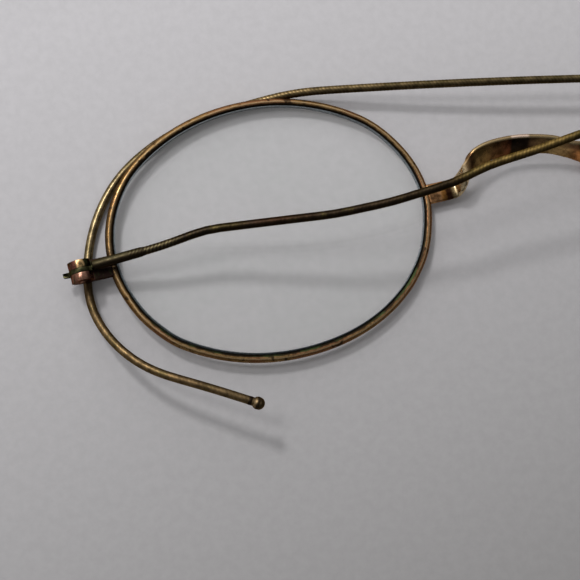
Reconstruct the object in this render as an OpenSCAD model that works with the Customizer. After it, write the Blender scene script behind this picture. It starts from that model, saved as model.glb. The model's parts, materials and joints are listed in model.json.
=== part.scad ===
// Wire-rim reading glasses with oval lenses, a saddle bridge and cable temples with ear hooks.
// Millimetres. The glasses lie on their front on a table at Z = 0, and +Z points up, towards the wearer.
// X runs along the front with the wearer's left temple at -X, and +Y is the glasses' own top.

/* [Front] */
// Width of each eyewire, measured on the wire's centre line
eye_w = 39; // [35:0.5:45]
// Height of each eyewire, measured on the wire's centre line
eye_h = 30.5; // [28:0.5:34]
// Distance between the centres of the two lenses
lens_pitch = 65; // [60:0.5:74]
// Thickness of the eyewire
rim_d = 1.0; // [0.9:0.05:1.5]
// Depth of the groove that holds the lens, from the wire's inner edge
groove_depth = 0.3; // [0.2:0.02:0.4]
// Width of the saw cut that splits each eyewire
split_w = 0.12; // [0.06:0.02:0.3]

/* [Lenses] */
// Thickness of a lens at its edge
lens_edge = 0.95; // [0.8:0.05:1.6]
// Radius of both curved faces of a lens
lens_curve = 800; // [250:10:900]

/* [Bridge] */
// Width of the bridge ribbon
ribbon_w = 3; // [2.4:0.1:3.6]
// Thickness of the bridge ribbon
ribbon_t = 0.65; // [0.5:0.05:0.9]
// Distance between the two cranks of the bridge
crank_gap = 16.6; // [14:0.2:20]
// Height of the saddle above the lenses' middle, at its crest
crest_rise = 2.9; // [1:0.1:6]
// Distance of the saddle behind the lens plane, at its crest
crest_back = 2.15; // [1:0.05:4]
// Lean of the saddle's face at its crest
crest_lean = 58; // [10:1:60]

/* [Hinges] */
// Distance from the eyewire to the hinge screw
hinge_out = 3.9; // [3.6:0.1:6]
// Distance of the hinge screw behind the lens plane
hinge_back = 1.0; // [0.9:0.05:1.4]
// Radius of the round end of a lug
lug_r = 1.3; // [1.2:0.05:1.5]
// Thickness of one lug, along the screw
lug_t = 0.92; // [0.8:0.02:1.4]
// Thickness of the temple's flat eye
eye_t = 0.5; // [0.4:0.02:0.8]
// Clearance on each side of the temple's eye
eye_gap = 0.03; // [0.02:0.01:0.1]
// Radius of the hinge screw
screw_r = 0.4; // [0.3:0.02:0.5]
// Radius of the screw's head
head_r = 0.74; // [0.6:0.02:0.9]
// Height of the screw's head
head_h = 0.42; // [0.3:0.02:0.5]

/* [Temples] */
// Length of the smooth ferrule behind the joint
ferrule_len = 6.2; // [4:0.1:9]
// Diameter of the ferrule
ferrule_d = 1.15; // [1.05:0.05:1.6]
// Diameter of the wound cable
cable_d = 1.0; // [0.9:0.02:1.2]
// Diameter of the spring wire inside the cable
core_d = 0.54; // [0.4:0.02:0.6]
// Length of the straight part of a temple, up to its ear hook
shank_len = 77.8; // [72:0.1:90]
// Radius of the hook's shoulder
shoulder_r = 39; // [30:1:50]
// Turn of the hook's shoulder
shoulder_turn = 27.2; // [20:0.2:35]
// Radius of the hook behind the ear
ear_r = 20; // [16:0.5:24]
// Turn of the hook behind the ear
ear_turn = 69.4; // [60:0.2:80]
// Radius of the hook's lower end
lobe_r = 12; // [10:0.5:16]
// Turn of the hook's lower end
lobe_turn = 62.4; // [50:0.2:75]
// Straight length before the tip
tail_len = 9.5; // [6:0.1:16]
// Diameter of the tip ball
ball_d = 1.5; // [1.3:0.05:2.4]
// Distance that the hook's end is bent out of its plane
tail_kick = 6; // [0:0.1:7]
// Distance from the screw at which the hook's plane starts
hook_from = 84.5; // [82:0.5:88]
// Bend between the bowed part and the hook's plane
hook_set = 10; // [9.5:0.1:12]

/* [Pose] */
// Angle of the left temple over the lens plane
left_raise = 15.8; // [15:0.1:20]
// Angle of the right temple over the lens plane
right_raise = 6.55; // [6.5:0.05:9]
// Angle of the left temple's shank up the glasses' height
left_lift = 2.4; // [0:0.1:4]
// Distance from the top of the left eyewire to the right cable that passes it
cable_over = 0.7; // [0.7:0.05:2]
// Radius of the left temple's outward bow
left_bow = 312; // [280:2:400]
// Radius of the right temple's outward bow
right_bow = 257; // [257:1:300]
// Tilt of the front, whose left end lies on the right temple's cable
rest_tilt = 0.75; // [0.7:0.01:1.2]

/* [Hidden] */

// Colours
gold = [0.72, 0.58, 0.36];
copper = [0.62, 0.42, 0.33];
olive = [0.36, 0.33, 0.20];
dark_wire = [0.31, 0.25, 0.17];
clear_glass = [0.80, 0.84, 0.82, 0.35];

// Fits
solder_gap = 0.01;
lens_gap = 0.04;
bore_gap = 0.05;
seat_gap = 0.02;
round_fn = 48;
through = 1;

// Four-arc oval: its arcs meet on lines that rise by turn_rise over turn_run, from the arcs' centres
turn_run = 0.6;
turn_rise = 0.8;
oval_k = (eye_w - eye_h) / 2 / (turn_run + turn_rise - 1);
end_c = oval_k * turn_run;
side_c = oval_k * turn_rise;

// Hinge
slot_w = eye_t + 2 * eye_gap;
lug_top = slot_w / 2 + lug_t;
hinge_x = lens_pitch / 2 + eye_w / 2 + hinge_out;
arm_z = rim_d / 2 + 0.01;
arm_root = 1.1;
heel_out = lug_r + 0.75;
block_gap = 0.08;

// Neck of the temple joint, where the shank's lift starts
neck_u = lug_r + 0.05;
neck_gap = 0.15;
neck_r = 0.27;
neck_len = 2.2;
jog_t = 0.05;

// Stations along a temple, as distances from its neck
ferrule_end = neck_gap + ferrule_len;
shoulder_len = shoulder_r * shoulder_turn * PI / 180;
ear_len = ear_r * ear_turn * PI / 180;
lobe_len = lobe_r * lobe_turn * PI / 180;
ear_from = shank_len + shoulder_len;
lobe_from = ear_from + ear_len;
tail_from = lobe_from + lobe_len;
cable_end = tail_from + tail_len;

// Small bends that wear has left in each shank: distance from the neck, and offset up or down
left_bends = [
    [0, 0.3], [8.2, -0.09], [13.8, 0.1], [28.5, -2.8], [35, -3.42], [42.5, -3.45], [47, -2.7], [54, -2.6],
    [58, -2.3], [78, -2.6]
];
right_bends = [[0, 0], [78, 0]];

// Angle of the right temple's shank up the glasses' height, which takes its shoulder past the left eyewire
right_lift = atan2(shoulder_r, shank_len)
    + asin((eye_h / 2 + cable_over - shoulder_r) / norm([shank_len, shoulder_r]));

// What differs between the two temples: lift, bow radius and bends
left_arm = [left_lift, left_bow, left_bends];
right_arm = [right_lift, right_bow, right_bends];

// Half the thickness of a lens at its middle
lens_half = lens_edge / 2 + lens_curve - sqrt(pow(lens_curve, 2) - pow(eye_w / 2, 2));

// Height of the frame's own origin over the table, which the right lugs' flat underside touches, or the
// right lens where that bulges further
rest_lift = max(
    arm_z * cos(rest_tilt) + (hinge_x - arm_root) * sin(rest_tilt),
    lens_curve * (1 - cos(rest_tilt)) + lens_half * cos(rest_tilt) + lens_pitch / 2 * sin(rest_tilt)
);

// Half the stretch of wire over which a sharp bend is taken off
soft = 1.6;

// Stations of the swept wires: even steps on the shank and finer ones round the hook
shank_steps = 24;
hook_steps = 34;

// Shift that puts the origin under the middle of the whole outline
y_low = min([for (s = cable_stations()) centre_at(s, left_arm)[1]]) - cable_d / 2;
y_high = max([for (s = cable_stations()) centre_at(s, right_arm)[1]]) + cable_d / 2;
rest_shift = -(y_low + y_high) / 2;

// Where an arc ends that starts at the heading th and turns to the right by a degrees
function arc_step(th, r, a) = r * [sin(th) - sin(th - a), cos(th - a) - cos(th)];

function degrees_of(len, r) = len / r * 180 / PI;

// Centre line of a temple in its own plane, without bends, at the distance s from its neck
function plan_at(s, lift) =
    let (
        shank_end = shank_len * [cos(lift), sin(lift)],
        h1 = lift - shoulder_turn,
        h2 = h1 - ear_turn,
        h3 = h2 - lobe_turn,
        ear_start = shank_end + arc_step(lift, shoulder_r, shoulder_turn),
        lobe_start = ear_start + arc_step(h1, ear_r, ear_turn),
        tail_start = lobe_start + arc_step(h2, lobe_r, lobe_turn)
    )
    s <= shank_len ? s * [cos(lift), sin(lift)]
    : s <= ear_from ? shank_end + arc_step(lift, shoulder_r, degrees_of(s - shank_len, shoulder_r))
    : s <= lobe_from ? ear_start + arc_step(h1, ear_r, degrees_of(s - ear_from, ear_r))
    : s <= tail_from ? lobe_start + arc_step(h2, lobe_r, degrees_of(s - lobe_from, lobe_r))
    : tail_start + (s - tail_from) * [cos(h3), sin(h3)];

// Outward bow of a temple at the distance u from its neck: an arc, then the hook's plane
function bow_at(u, r) =
    let (straight = ferrule_end, run = hook_from - straight)
    u <= straight ? 0
    : u <= hook_from ? -pow(u - straight, 2) / (2 * r)
    : -run * run / (2 * r) + (u - hook_from) * (tan(hook_set) - run / r);

// Bend of the hook's lower end out of the hook's plane
function kick_at(s) =
    s <= lobe_from ? 0 : tail_kick * sin(90 * min(1, (s - lobe_from) / (cable_end - lobe_from)));

// Centre line of a temple in its own frame: u away from the screw, v up, w towards the wearer
function raw_at(s, arm) =
    let (p = plan_at(s, arm[0]))
    [neck_u + p[0], p[1] + lookup(s, arm[2]), bow_at(p[0], arm[1]) + kick_at(s)];

// The same with the sharp corners taken off
function centre_at(s, arm) = (raw_at(s - soft, arm) + 2 * raw_at(s, arm) + raw_at(s + soft, arm)) / 4;

function unit(v) = v / norm(v);

// Offset of a temple's neck, and the direction of its straight start inside the ferrule
function neck_rise(arm) = lookup(0, arm[2]);
function neck_way(arm) =
    [cos(arm[0]), sin(arm[0]) + (lookup(ferrule_end, arm[2]) - neck_rise(arm)) / ferrule_end, 0];

function tangent_at(s, arm) =
    s <= ferrule_end ? unit(neck_way(arm))
    : unit(centre_at(min(s + 0.5, cable_end), arm) - centre_at(s - 0.5, arm));

function cable_stations() = concat(
    [for (i = [0:shank_steps - 1]) ferrule_end + (shank_len - ferrule_end) * i / shank_steps],
    [for (i = [0:hook_steps]) shank_len + (cable_end - shank_len) * i / hook_steps]
);

function ring_at(s, arm, r, sides) =
    let (c = centre_at(s, arm), t = tangent_at(s, arm), n = unit(cross([0, 0, 1], t)), b = cross(t, n))
    [for (k = [0:sides - 1]) c + r * (cos(360 * k / sides) * n + sin(360 * k / sides) * b)];

// Triangles of the skin between successive rings of the same number of points
function skin(rings, sides, from, flip) = [
    for (i = [0:rings - 2], k = [0:sides - 1])
        let (a = from + i * sides + k, b = from + i * sides + (k + 1) % sides, c = a + sides, d = b + sides)
        each (flip ? [[a, c, b], [b, c, d]] : [[a, b, c], [b, d, c]])
];

function fan(first, sides, flip) = [
    for (k = [1:sides - 2]) flip ? [first, first + k, first + k + 1] : [first, first + k + 1, first + k]
];

// Solid wire swept along a temple
module swept_wire(stations, arm, r, sides) {
    n = len(stations);
    points = [for (s = stations) each ring_at(s, arm, r, sides)];
    polyhedron(points, concat(
        skin(n, sides, 0, true),
        fan(0, sides, true),
        fan((n - 1) * sides, sides, false)
    ));
}

// Wire sleeve swept along a temple, open at both ends
module swept_tube(stations, arm, r_out, r_in, sides) {
    n = len(stations);
    inner = n * sides;
    last = (n - 1) * sides;
    points = concat(
        [for (s = stations) each ring_at(s, arm, r_out, sides)],
        [for (s = stations) each ring_at(s, arm, r_in, sides)]
    );
    near_end = [for (k = [0:sides - 1]) let (m = (k + 1) % sides)
        each [[k, m, inner + k], [m, inner + m, inner + k]]];
    far_end = [for (k = [0:sides - 1]) let (m = (k + 1) % sides)
        each [[last + k, inner + last + k, last + m], [last + m, inner + last + k, inner + last + m]]];
    polyhedron(points, concat(
        skin(n, sides, 0, true),
        skin(n, sides, inner, false),
        near_end,
        far_end
    ));
}

// The glasses as they lie: the left end rests on the right temple's cable
module laid() {
    translate([0, rest_shift, rest_lift]) rotate([0, rest_tilt, 0]) children();
}

// The right half of the glasses mirrors the left half
module half(side) {
    if (side < 0) children();
    else mirror([1, 0, 0]) children();
}

module at_lens(side) {
    laid() half(side) translate([-lens_pitch / 2, 0, 0]) children();
}

// Frame of a folded temple: origin on the screw, +X along the temple
module at_temple(side) {
    raise = side < 0 ? left_raise : right_raise;
    laid() half(side) translate([-hinge_x, 0, hinge_back]) rotate([0, -raise, 0]) children();
}

// Frame of a temple's ferrule: origin at the neck, +Z along the shank
module at_neck(arm) {
    way = neck_way(arm);
    translate([neck_u, neck_rise(arm), 0]) rotate([0, 90, atan2(way[1], way[0])]) children();
}

// Sweeps a profile round the oval; the profile's X = 0 lies on the oval
module oval_sweep() {
    for (s = [-1, 1]) {
        intersection() {
            translate([s * end_c, 0, 0]) rotate_extrude($fn = 96) translate([eye_w / 2 - end_c, 0]) children();
            wedge([s * end_c, 0], [[s * turn_run, -turn_rise], [s * turn_run, turn_rise]]);
        }
        intersection() {
            translate([0, -s * side_c, 0]) rotate_extrude($fn = 96) translate([eye_h / 2 + side_c, 0]) children();
            wedge([0, -s * side_c], [[-turn_run, s * turn_rise], [turn_run, s * turn_rise]]);
        }
    }
}

// Upright triangular prism from a corner along two directions
module wedge(corner, ways) {
    reach = 2 * eye_w;
    linear_extrude(height = eye_h, center = true)
        polygon([corner, corner + reach * ways[0], corner + reach * ways[1]]);
}

groove_apex = rim_d / 2 - groove_depth;
module rim_profile() {
    difference() {
        circle(d = rim_d, $fn = 32);
        polygon([[-rim_d, -rim_d], [-groove_apex, 0], [-rim_d, rim_d]]);
    }
}

module eyewire(side) {
    color(gold) at_lens(side) difference() {
        oval_sweep() rim_profile();
        translate([-eye_w / 2, 0, 0]) cube([2 * rim_d, split_w, 2 * rim_d], center = true);
    }
}

// Height of a lens's curved face at the distance r from its middle
function lens_face(r) = lens_half - lens_curve + sqrt(pow(lens_curve, 2) - r * r);

// Lens: two shallow curved faces, an edge inside the rim and a bevel that sits in the groove
module lens(side) {
    edge = -rim_d / 2 - lens_gap;
    bevel = -groove_apex - 1.5 * lens_gap;
    band = 10;
    core_w = eye_w - 2 * band + 1;
    core_h = eye_h - 2 * band + 1;
    face_r = eye_w / 2 + 1;
    face_steps = 10;
    color(clear_glass) at_lens(side) intersection() {
        union() {
            oval_sweep() polygon([
                [edge, -lens_half], [edge, edge - bevel], [bevel, 0], [edge, bevel - edge], [edge, lens_half],
                [-band, lens_half], [-band, -lens_half]
            ]);
            cube([core_w, core_h, 2 * lens_half], center = true);
        }
        rotate_extrude($fn = 180) polygon(concat(
            [for (i = [0:face_steps]) [face_r * i / face_steps, lens_face(face_r * i / face_steps)]],
            [for (i = [face_steps:-1:0]) [face_r * i / face_steps, -lens_face(face_r * i / face_steps)]]
        ));
    }
}

// Bridge ribbon from left to right, with the droop that wear has left at its right end
bridge_half = lens_pitch / 2 - eye_w / 2;
crank = crank_gap / 2;
foot_len = 1.6;
foot_drop = 0.27;
foot_share = 0.82;

// Width direction of the ribbon for a share of the crest's lean, slanted along the front
function leaned(share, slant) = [slant, cos(share * crest_lean), sin(share * crest_lean)];

// Saddle stations: place as shares of the crank's distance, of the crest's rise and of its distance back,
// then the running direction, the share of the crest's lean and the slant
saddle_line = [
    [[-0.994, 0.28, 1], [0.4, 0.45, 0.6], 0.11, -0.25],
    [[-0.916, 0.5, 1.16], [0.75, 0.6, 0.15], 0.56, -0.29],
    [[-0.812, 0.69, 1.21], [0.87, 0.5, 0], 0.69, -0.21],
    [[-0.63, 0.87, 1.16], [0.95, 0.3, -0.07], 0.82, -0.1],
    [[-0.372, 1.01, 1.07], [0.98, 0.1, -0.08], 0.93, -0.03],
    [[-0.057, 1, 1], [0.99, -0.1, -0.05], 1, 0],
    [[0.28, 0.82, 0.95], [0.97, -0.22, -0.04], 1.03, 0.02],
    [[0.504, 0.64, 0.91], [0.94, -0.32, -0.06], 1.07, 0.03],
    [[0.76, 0.3, 0.79], [0.9, -0.42, -0.15], 1.18, 0.05],
    [[0.952, 0.09, 0.63], [0.85, -0.3, -0.4], 0.86, 0.1]
];

// Stations of the whole ribbon: place, running direction, width direction and share of the full width
ribbon_frames = concat(
    [
        [[-bridge_half + 0.25, -foot_drop, 0], [1, 0, 0], leaned(0, 0), foot_share],
        [[-crank - foot_len, -foot_drop, 0.02], [1, 0, 0.05], leaned(0, 0), foot_share],
        [[-crank - 0.65, -0.2, 0.1 * crest_back], [0.8, 0.05, 0.6], leaned(0, 0), foot_share],
        [[-crank - 0.25, 0.05, 0.5 * crest_back], [0.1, 0.2, 0.97], leaned(-0.2, 0), 0.85]
    ],
    [for (q = saddle_line) [
        [q[0][0] * crank, q[0][1] * crest_rise, q[0][2] * crest_back], q[1], leaned(q[2], q[3]), 1
    ]],
    [
        [[crank + 0.65, -0.15, 0.2 * crest_back], [0.8, -0.12, -0.6], leaned(0.26, 0), 0.85],
        [[crank + foot_len, -foot_drop, 0.02], [1, 0, -0.05], leaned(0, 0), foot_share],
        [[bridge_half - 0.25, -foot_drop, 0], [1, 0, 0], leaned(0, 0), foot_share]
    ]
);

// Point, tangent, width direction and width share between two stations, by a cubic through both
function hermite(f, g, t) =
    let (
        d = norm(g[0] - f[0]),
        m0 = unit(f[1]) * d,
        m1 = unit(g[1]) * d,
        p = (2 * pow(t, 3) - 3 * t * t + 1) * f[0] + (pow(t, 3) - 2 * t * t + t) * m0
            + (3 * t * t - 2 * pow(t, 3)) * g[0] + (pow(t, 3) - t * t) * m1,
        run = (6 * t * t - 6 * t) * f[0] + (3 * t * t - 4 * t + 1) * m0
            + (6 * t - 6 * t * t) * g[0] + (3 * t * t - 2 * t) * m1
    )
    [p, unit(run), (1 - t) * unit(f[2]) + t * unit(g[2]), (1 - t) * f[3] + t * g[3]];

ribbon_steps = 3;
ribbon_stations = concat(
    [for (i = [0:len(ribbon_frames) - 2], k = [0:ribbon_steps - 1])
        hermite(ribbon_frames[i], ribbon_frames[i + 1], k / ribbon_steps)],
    [ribbon_frames[len(ribbon_frames) - 1]]
);

// Outline of the ribbon with rounded edges: along its width and across its thickness
edge_r = ribbon_t / 2;
function ribbon_outline(share) = [
    for (side = [-1, 1], a = [-60:30:60])
        [side * (share * ribbon_w / 2 - edge_r + edge_r * cos(a)), side * edge_r * sin(a)]
];

function ribbon_ring(f) =
    let (
        run = unit(f[1]),
        face = unit(cross(run, f[2])),
        width = cross(face, run)
    )
    [for (q = ribbon_outline(f[3])) f[0] + q[0] * width + q[1] * face];

module bridge() {
    sides = len(ribbon_outline(1));
    n = len(ribbon_stations);
    points = [for (f = ribbon_stations) each ribbon_ring(f)];
    color(gold) laid() difference() {
        polyhedron(points, concat(
            skin(n, sides, 0, false),
            fan(0, sides, false),
            fan((n - 1) * sides, sides, true)
        ));
        for (side = [-1, 1]) half(side) translate([-lens_pitch / 2, 0, 0])
            oval_sweep() circle(d = rim_d + 2 * solder_gap, $fn = 32);
    }
}

// Lug in the left lens's frame; up is 1 for the upper lug and -1 for the lower one
module lug_body(up) {
    pin_x = -eye_w / 2 - hinge_out;
    arm_from = pin_x + lug_r + block_gap;
    arm_to = -eye_w / 2 - rim_d / 4;
    arm_side = [
        [pin_x, hinge_back - lug_r], [pin_x + arm_root, -arm_z], [arm_to, -arm_z],
        [arm_to, arm_z], [pin_x + 0.9 * lug_r, arm_z], [pin_x, hinge_back]
    ];
    mirror([0, up > 0 ? 0 : 1, 0]) {
        translate([pin_x, lug_top, hinge_back]) rotate([90, 0, 0]) cylinder(r = lug_r, h = lug_t, $fn = round_fn);
        translate([0, lug_top, 0]) rotate([90, 0, 0]) linear_extrude(height = lug_t) polygon(arm_side);
        translate([arm_from, split_w / 2, -arm_z]) cube([arm_to - arm_from, lug_top - split_w / 2, 2 * arm_z]);
    }
}

module lug(side, up) {
    pin_x = -eye_w / 2 - hinge_out;
    color(up > 0 ? gold : copper) at_lens(side) difference() {
        lug_body(up);
        oval_sweep() circle(d = rim_d + 2 * solder_gap, $fn = 32);
        translate([pin_x, 0, hinge_back]) rotate([90, 0, 0])
            cylinder(r = screw_r + seat_gap, h = 3 * lug_top, center = true, $fn = round_fn);
        translate([pin_x, lug_top + lug_t, hinge_back]) rotate([90, 0, 0])
            cylinder(r = head_r + seat_gap, h = lug_t + head_h + seat_gap, $fn = round_fn);
    }
}

// Slotted screw that closes the rim and carries the temple
module screw(side) {
    pin_x = -eye_w / 2 - hinge_out;
    end_out = 0.15;
    slot_d = 0.2;
    color(copper) at_lens(side) translate([pin_x, lug_top, hinge_back]) rotate([90, 0, 0]) difference() {
        union() {
            cylinder(r = head_r, h = head_h, $fn = round_fn);
            cylinder(r = screw_r, h = 2 * lug_top + end_out, $fn = round_fn);
        }
        rotate([0, 0, 35]) cube([3 * head_r, slot_d, 2 * slot_d], center = true);
    }
}

// Flat eye with its heel, and the round neck that steps up from it and enters the ferrule
module joint(side, arm) {
    heel = [[0, 0], [-heel_out, 0.25], [-heel_out, -0.35], [-0.72 * lug_r, -lug_r], [0, -lug_r]];
    tail = [[0, -lug_r], [neck_u + jog_t, -0.42], [neck_u + jog_t, 0.42], [0, lug_r]];
    color(olive) at_temple(side) union() {
        difference() {
            rotate([90, 0, 0]) union() {
                cylinder(r = lug_r, h = eye_t, center = true, $fn = round_fn);
                linear_extrude(height = eye_t, center = true) polygon(heel);
                linear_extrude(height = eye_t, center = true) polygon(tail);
            }
            rotate([90, 0, 0]) cylinder(r = screw_r + bore_gap, h = 2 * eye_t, center = true, $fn = round_fn);
        }
        at_neck(arm) cylinder(r = neck_r, h = neck_len, $fn = round_fn);
        hull() {
            translate([neck_u, 0, 0]) rotate([0, 90, 0]) cylinder(r = neck_r, h = jog_t, $fn = round_fn);
            at_neck(arm) translate([0, 0, neck_gap - jog_t]) cylinder(r = neck_r, h = jog_t, $fn = round_fn);
        }
    }
}

// Smooth sleeve: a straight wall, then a short taper down to the wound cable
module ferrule(side, arm) {
    bore_r = neck_r + seat_gap;
    taper_len = 0.8;
    straight_len = ferrule_len - taper_len;
    color(olive) at_temple(side) at_neck(arm) translate([0, 0, neck_gap]) difference() {
        union() {
            cylinder(d = ferrule_d, h = straight_len, $fn = round_fn);
            translate([0, 0, straight_len]) cylinder(d1 = ferrule_d, d2 = cable_d, h = taper_len, $fn = round_fn);
        }
        translate([0, 0, -through]) cylinder(r = bore_r, h = ferrule_len + 2 * through, $fn = round_fn);
    }
}

cable_sides = 10;
wrap_stations = cable_stations();
core_stations = concat([neck_len + 0.2], cable_stations());

module core(side, arm) {
    color(dark_wire) at_temple(side) swept_wire(core_stations, arm, core_d / 2, cable_sides);
}

module wrap(side, arm) {
    color(dark_wire) at_temple(side)
        swept_tube(wrap_stations, arm, cable_d / 2, core_d / 2 + bore_gap, cable_sides);
}

// Ball on the cable's end
module tip(side, arm) {
    t = tangent_at(cable_end, arm);
    color(gold) at_temple(side) translate(centre_at(cable_end, arm))
        rotate([0, acos(t[2]), atan2(t[1], t[0])]) difference() {
            translate([0, 0, ball_d * 0.3]) sphere(d = ball_d, $fn = round_fn);
            translate([0, 0, -ball_d]) cylinder(r = cable_d / 2 + seat_gap, h = ball_d, $fn = round_fn);
        }
}

eyewire(-1);  // left_eyewire
eyewire(1);  // right_eyewire
lens(-1);  // left_lens
lens(1);  // right_lens
bridge();
lug(-1, 1);  // left_upper_lug
lug(-1, -1);  // left_lower_lug
screw(-1);  // left_screw
lug(1, 1);  // right_upper_lug
lug(1, -1);  // right_lower_lug
screw(1);  // right_screw
joint(-1, left_arm);  // left_joint
ferrule(-1, left_arm);  // left_ferrule
core(-1, left_arm);  // left_core
wrap(-1, left_arm);  // left_wrap
tip(-1, left_arm);  // left_tip
joint(1, right_arm);  // right_joint
ferrule(1, right_arm);  // right_ferrule
core(1, right_arm);  // right_core
wrap(1, right_arm);  // right_wrap
tip(1, right_arm);  // right_tip
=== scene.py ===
import json
import math

import bmesh
import bpy
import numpy as np
from mathutils import Matrix, Vector


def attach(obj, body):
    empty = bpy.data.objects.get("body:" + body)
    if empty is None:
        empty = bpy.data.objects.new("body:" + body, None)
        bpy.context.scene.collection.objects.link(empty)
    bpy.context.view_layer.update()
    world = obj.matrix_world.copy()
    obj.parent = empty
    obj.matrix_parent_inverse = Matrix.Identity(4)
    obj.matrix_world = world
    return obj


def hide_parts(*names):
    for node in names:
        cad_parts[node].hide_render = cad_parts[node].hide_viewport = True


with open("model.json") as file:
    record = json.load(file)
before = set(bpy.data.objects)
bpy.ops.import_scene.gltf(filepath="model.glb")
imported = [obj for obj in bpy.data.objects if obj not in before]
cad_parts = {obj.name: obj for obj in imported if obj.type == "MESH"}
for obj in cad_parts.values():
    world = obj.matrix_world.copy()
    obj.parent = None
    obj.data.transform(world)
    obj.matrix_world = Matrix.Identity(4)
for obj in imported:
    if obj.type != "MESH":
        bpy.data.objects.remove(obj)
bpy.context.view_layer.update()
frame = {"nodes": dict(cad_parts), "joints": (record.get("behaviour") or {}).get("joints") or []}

# Old wire-rim reading glasses, folded and lying on their front. Sizes are in millimetres unless a
# comment says otherwise, and repeat those of the CAD model. MM turns them into Blender's metres.
MM = 0.001

# Front: the rims on the wire's centre line, and the lenses in their grooves
EYE_W = 39.0
EYE_H = 30.5
LENS_PITCH = 65.0
RIM_R = 0.5
GROOVE_DEPTH = 0.3
SPLIT_W = 0.12
LENS_GAP = 0.04
LENS_EDGE = 0.95
LENS_CURVE = 800.0
HINGE_BACK = 1.0

# Bridge: a ribbon with a foot on each rim, a crank on each side of the middle and a saddle between them
RIBBON_W = 3.0
RIBBON_T = 0.65
CRANK = 8.3
CREST_RISE = 2.9
CREST_BACK = 2.15
CREST_LEAN = math.radians(58)
FOOT_LEN = 1.6
FOOT_DROP = 0.27
FOOT_SHARE = 0.82
BRIDGE_HALF = (LENS_PITCH - EYE_W) / 2

# Temples: the neck's distance from the screw, the ferrule, the cable with its core and its ball
NECK_U = 1.35
NECK_GAP = 0.15
FERRULE_LEN = 6.2
FERRULE_R = 0.575
FERRULE_BORE_R = 0.29
CABLE_R = 0.5
CORE_R = 0.27
CORE_FROM = 2.4
BALL_R = 0.75

# A temple's line: the straight shank, the hook's arcs as (radius, degrees of turn), and the tail. The
# hook's plane is set at HOOK_SET to the bowed shank from HOOK_FROM on, and TAIL_KICK bends the end out
# of that plane. Bends are rounded over SOFT, and directions are measured over TANGENT_REACH.
SHANK_LEN = 77.8
ARCS = ((39.0, 27.2), (20.0, 69.4), (12.0, 62.4))
TAIL_LEN = 9.5
TAIL_KICK = 6.0
HOOK_FROM = 84.5
HOOK_SET = math.radians(10)
SOFT = 1.6
TANGENT_REACH = 0.5
FERRULE_END = NECK_GAP + FERRULE_LEN
CABLE_END = SHANK_LEN + sum(r * math.radians(turn) for r, turn in ARCS) + TAIL_LEN

# Bends made by hand, as (distance from the neck, offset up the glasses' height)
LEFT_BENDS = (
    (0, 0.3), (8.2, -0.09), (13.8, 0.1), (28.5, -2.8), (35, -3.42), (42.5, -3.45), (47, -2.7),
    (54, -2.6), (58, -2.3), (78, -2.6),
)
RIGHT_BENDS = (
    (0, 0), (80, 0), (87, -0.25), (100, -0.25), (106, 0), (124, 0), (132, -0.2), (143, -0.4),
)

# Winding: four strands side by side, each 0.44 mm from the next along the cable. The sleeve's end is
# pressed on to it, so the strands show through from PRESSED_FROM on.
WIND_PITCH = 0.44
WIND_STARTS = 4
PRESSED_FROM = 4.2
PRESSED_DEPTH = 0.045


# Places
pins = {joint["child"]: Vector(joint["pos_m"]) / MM for joint in frame["joints"]}
left_pin, right_pin = pins["left_temple"], pins["right_temple"]
hinge_x = (right_pin - left_pin).length / 2
tilt = math.atan2(left_pin.z - right_pin.z, right_pin.x - left_pin.x)
LAID = (
    Matrix.Translation((left_pin + right_pin) / 2)
    @ Matrix.Rotation(tilt, 4, "Y")
    @ Matrix.Translation((0, 0, -HINGE_BACK))
)
MIRROR = Matrix.Diagonal((-1, 1, 1, 1))


def half(side):
    """The right half of the glasses mirrors the left half."""
    return MIRROR if side > 0 else Matrix.Identity(4)


def at_lens(side):
    """Place of a lens: its origin is in the middle of the rim's oval."""
    return LAID @ half(side) @ Matrix.Translation((-LENS_PITCH / 2, 0, 0))


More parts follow.
